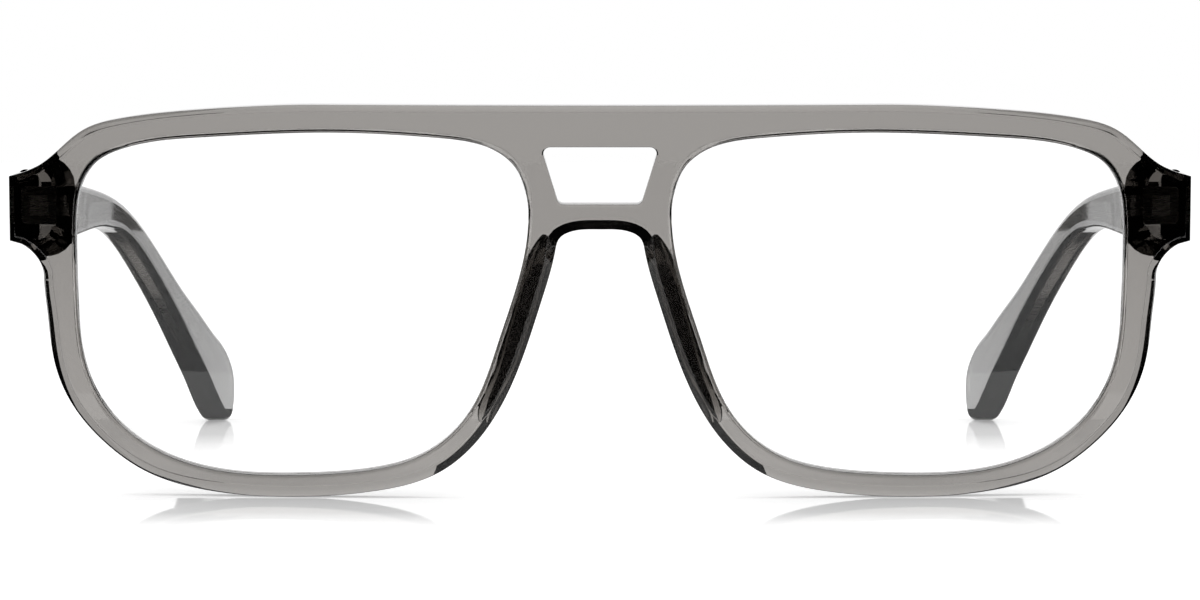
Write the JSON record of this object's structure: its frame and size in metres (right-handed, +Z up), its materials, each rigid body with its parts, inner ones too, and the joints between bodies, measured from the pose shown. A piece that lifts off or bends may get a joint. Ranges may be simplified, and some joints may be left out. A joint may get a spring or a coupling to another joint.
{
  "type": "double bridge glasses",
  "caption": "Double bridge glasses in clear grey acetate: a straight top bar over a lower bridge, large squared lenses and folding temples.",
  "frame": {"origin": "on the ground under the middle of the open glasses: half way between the front's face and the temple tips, and half way between the two sides", "axes": "+X towards the wearer's left, +Y from the front towards the temple tips, +Z up; the glasses stand open on their rims and temple tips"},
  "size_m": [0.1428, 0.1516, 0.0472],
  "materials": {
    "clear_grey_acetate": "polished",
    "lens_plastic": "polished",
    "hinge_metal": "satin",
    "core_wire_metal": "satin"
  },
  "bodies": {
    "front": {"front_frame": "clear_grey_acetate", "lens_left": "lens_plastic", "lens_right": "lens_plastic", "nose_pad_left": "clear_grey_acetate", "nose_pad_right": "clear_grey_acetate", "hinge_front_leaf_left": "hinge_metal", "hinge_front_leaf_right": "hinge_metal", "hinge_screw_left": "hinge_metal", "hinge_screw_right": "hinge_metal"},
    "left_temple": {"temple_left": "clear_grey_acetate", "hinge_temple_leaf_left": "hinge_metal", "core_wire_left": "core_wire_metal"},
    "right_temple": {"temple_right": "clear_grey_acetate", "hinge_temple_leaf_right": "hinge_metal", "core_wire_right": "core_wire_metal"}
  },
  "joints": [
    {"name": "left_temple_fold", "type": "hinge", "parent": "front", "child": "left_temple", "pos_m": [0.06625, -0.05779, 0.03512], "axis": [0, 0, 1], "range_deg": [0, 87]},
    {"name": "right_temple_fold", "type": "hinge", "parent": "front", "child": "right_temple", "pos_m": [-0.06625, -0.05779, 0.03512], "axis": [0, 0, -1], "range_deg": [0, 80]}
  ]
}
